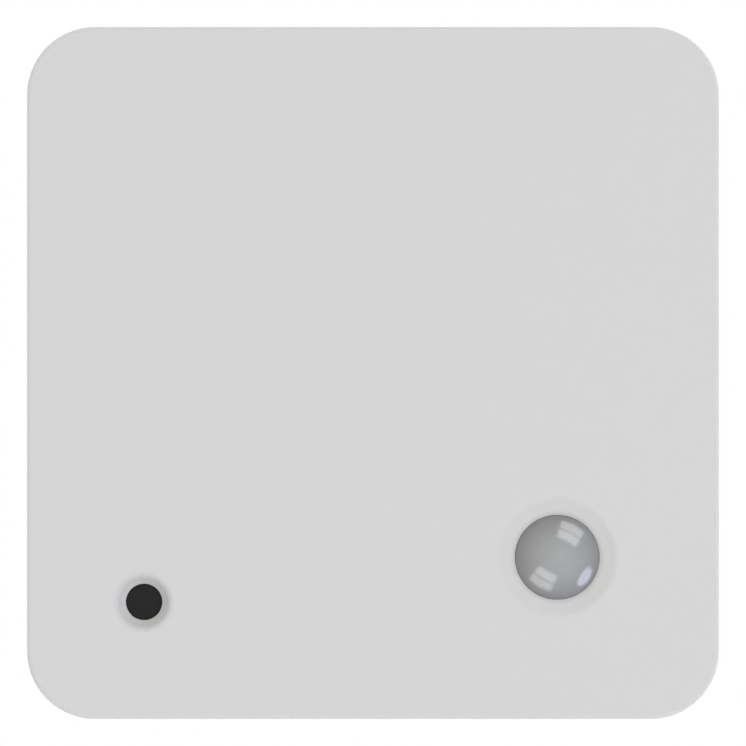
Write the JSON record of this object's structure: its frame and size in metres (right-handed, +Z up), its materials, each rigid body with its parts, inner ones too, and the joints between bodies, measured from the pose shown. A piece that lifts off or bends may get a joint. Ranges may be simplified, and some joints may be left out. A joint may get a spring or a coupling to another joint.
{
  "type": "multi-purpose room sensor",
  "caption": "Flat square wall sensor with a small domed motion lens and a light window in its front; the front unit snaps onto a screwed wall plate and carries the circuit board and cells.",
  "frame": {"origin": "centre of the pattern of four wall screw holes, on the face that meets the wall", "axes": "+X to the right as seen from the room, +Y into the wall, +Z up the wall; the front faces -Y"},
  "size_m": [0.086, 0.0272, 0.086],
  "materials": {
    "cover_plastic": "fine satin moulding texture",
    "plate_plastic": "satin",
    "lens_plastic": "smooth, slightly translucent",
    "window_plastic": "smooth",
    "clear_plastic": "clear",
    "retainer_plastic": "satin",
    "board_laminate": "solder mask",
    "chip_plastic": "moulded",
    "resistor_glaze": "glazed, tinned ends",
    "capacitor_ceramic": "fired, tinned ends",
    "sensor_plastic": "moulded",
    "nickel": "nickel plated",
    "filter_glass": "polished",
    "element_plate": "fired",
    "gold_plate": "gold plated",
    "antenna_steel": "tin plated",
    "screw_steel": "zinc plated",
    "led_resin": "diffused",
    "can_aluminium": "drawn",
    "plunger_plastic": "moulded",
    "holder_plastic": "glass-filled",
    "terminal_steel": "nickel plated",
    "cell_jacket": "shrink sleeve",
    "cap_steel": "nickel plated"
  },
  "bodies": {
    "wall_mount": {"wall_plate": "plate_plastic", "snap_arms": "plate_plastic"},
    "reset_button": {"reset_plunger": "plunger_plastic"},
    "upper_cell": {"cell_upper": "cell_jacket", "cell_cap_upper": "cap_steel"},
    "lower_cell": {"cell_lower": "cell_jacket", "cell_cap_lower": "cap_steel"},
    "front_unit": {"front_cover": "cover_plastic", "pir_lens": "lens_plastic", "light_window": "window_plastic", "light_guide": "clear_plastic", "lens_retainer": "retainer_plastic", "main_board": "board_laminate", "radio_board": "board_laminate", "microcontroller": "chip_plastic", "air_sensor": "chip_plastic", "switch_body": "chip_plastic", "header_block": "chip_plastic", "capacitor_base": "chip_plastic", "board_resistors": "resistor_glaze", "board_capacitors": "capacitor_ceramic", "light_sensor": "sensor_plastic", "pir_can": "nickel", "radio_shield": "nickel", "switch_frame": "nickel", "crystal": "nickel", "pir_filter": "filter_glass", "pir_element": "element_plate", "header_pins": "gold_plate", "pir_leads": "gold_plate", "antenna": "antenna_steel", "board_screws": "screw_steel", "status_led": "led_resin", "buffer_capacitor": "can_aluminium", "cell_holder_upper": "holder_plastic", "cell_holder_lower": "holder_plastic", "negative_terminal_upper": "terminal_steel", "positive_terminal_upper": "terminal_steel", "negative_terminal_lower": "terminal_steel", "positive_terminal_lower": "terminal_steel", "cell_spring_upper": "terminal_steel", "cell_spring_lower": "terminal_steel"}
  },
  "joints": [
    {"name": "cover_pull", "type": "slide", "parent": "wall_mount", "child": "front_unit", "axis": [0, -1, 0], "range_m": [0, 0.06], "deforming": ["snap_arms"]},
    {"name": "reset_press", "type": "slide", "parent": "front_unit", "child": "reset_button", "axis": [0, -1, 0], "range_m": [0, 0.00025], "stiffness_N_per_m": 6400},
    {"name": "upper_cell_push", "type": "slide", "parent": "front_unit", "child": "upper_cell", "axis": [-1, 0, 0], "range_m": [0, 0.0015], "stiffness_N_per_m": 1000, "springref_m": -0.003, "deforming": ["cell_spring_upper"]},
    {"name": "lower_cell_push", "type": "slide", "parent": "front_unit", "child": "lower_cell", "axis": [1, 0, 0], "range_m": [0, 0.0015], "stiffness_N_per_m": 1000, "springref_m": -0.003, "deforming": ["cell_spring_lower"]}
  ]
}
